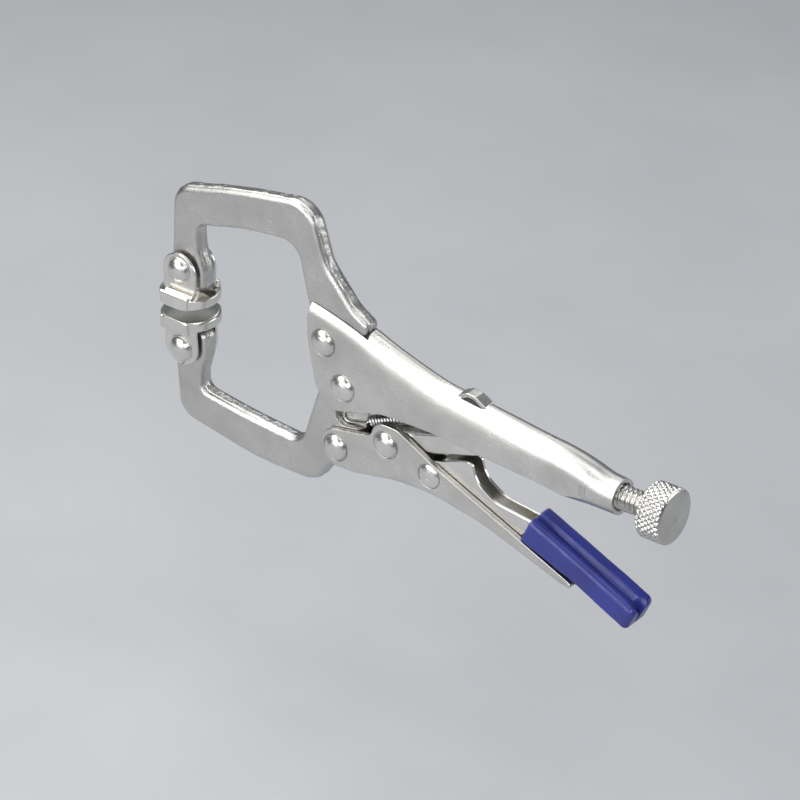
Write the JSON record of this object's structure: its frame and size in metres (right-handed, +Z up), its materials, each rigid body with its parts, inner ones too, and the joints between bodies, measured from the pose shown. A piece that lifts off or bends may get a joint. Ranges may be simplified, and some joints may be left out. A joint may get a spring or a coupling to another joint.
{
  "type": "locking c clamp",
  "caption": "Locking C-clamp pliers: forged steel C-shaped jaws with swivel pads, toggle-lock handles, release lever with vinyl sleeve and knurled adjusting screw.",
  "frame": {"origin": "centre of the upper pad's clamping face, with the tool locked", "axes": "+X from the jaws back to the adjusting screw, +Z up the clamping direction from the lower pad to the upper pad, Y across the tool's thickness, the near side being -Y"},
  "size_m": [0.2881, 0.0262, 0.1498],
  "materials": {
    "pressed_steel": "satin nickel plate on pressed sheet steel",
    "forged_steel": "satin nickel plate on drop-forged steel",
    "bright_steel": "brighter nickel plate on stamped steel",
    "rivet_steel": "nickel plated, peened dome",
    "screw_steel": "nickel plated, turned thread and knurl",
    "pad_steel": "nickel plate on stamped steel",
    "spring_wire": "bright wire",
    "blue_vinyl": "dipped soft vinyl, semi gloss"
  },
  "bodies": {
    "body": {"body_shell": "pressed_steel", "fixed_arm": "forged_steel", "fixed_arm_rivet": "rivet_steel", "jaw_pivot_rivet": "rivet_steel", "tail_bush": "screw_steel", "return_spring": "spring_wire"},
    "jaw": {"movable_jaw": "forged_steel", "handle_pivot_rivet": "rivet_steel"},
    "handle": {"movable_handle": "pressed_steel", "link_pivot_rivet": "rivet_steel", "lever_pivot_rivet": "rivet_steel"},
    "link": {"toggle_link": "bright_steel"},
    "lever": {"release_lever": "bright_steel", "lever_sleeve": "blue_vinyl"},
    "screw_travel": {"screw_point": "screw_steel"},
    "screw_turn": {"adjusting_screw": "screw_steel"},
    "upper_pad_swivel": {"upper_pad": "pad_steel", "upper_pad_rivet": "rivet_steel"},
    "lower_pad_swivel": {"lower_pad": "pad_steel", "lower_pad_rivet": "rivet_steel"}
  },
  "joints": [
    {"name": "jaw_pivot", "type": "hinge", "parent": "body", "child": "jaw", "pos_m": [0.096, 0, -0.0113], "axis": [0, -1, 0], "range_deg": [0, 19], "deforming": ["return_spring"]},
    {"name": "handle_pivot", "type": "hinge", "parent": "jaw", "child": "handle", "pos_m": [0.0917, 0, -0.0438], "axis": [0, 1, 0], "range_deg": [0, 61]},
    {"name": "link_pivot", "type": "hinge", "parent": "handle", "child": "link", "pos_m": [0.1207, 0, -0.032], "axis": [0, -1, 0], "range_deg": [0, 69]},
    {"name": "lever_pivot", "type": "hinge", "parent": "handle", "child": "lever", "pos_m": [0.1454, 0, -0.0392], "axis": [0, -1, 0], "range_deg": [0, 3.5]},
    {"name": "screw_slide", "type": "slide", "parent": "body", "child": "screw_travel", "axis": [1, 0, 0], "range_m": [0, 0.01]},
    {"name": "screw_spin", "type": "hinge", "parent": "screw_travel", "child": "screw_turn", "pos_m": [0.2, 0, -0.0156], "axis": [1, 0, 0], "range_deg": [0, 1440]},
    {"name": "upper_pad_pivot", "type": "hinge", "parent": "body", "child": "upper_pad_swivel", "pos_m": [0, 0, 0.0175], "axis": [0, 1, 0], "range_deg": [-15, 15]},
    {"name": "lower_pad_pivot", "type": "hinge", "parent": "jaw", "child": "lower_pad_swivel", "pos_m": [0, 0, -0.0235], "axis": [0, 1, 0], "range_deg": [-15, 15]}
  ],
  "couplings": [
    {"joint": "handle_pivot", "follows": "jaw_pivot", "ratio": 3.181},
    {"joint": "link_pivot", "follows": "jaw_pivot", "ratio": 3.605},
    {"joint": "screw_spin", "follows": "screw_slide", "rad_per_m": 2513.3}
  ]
}
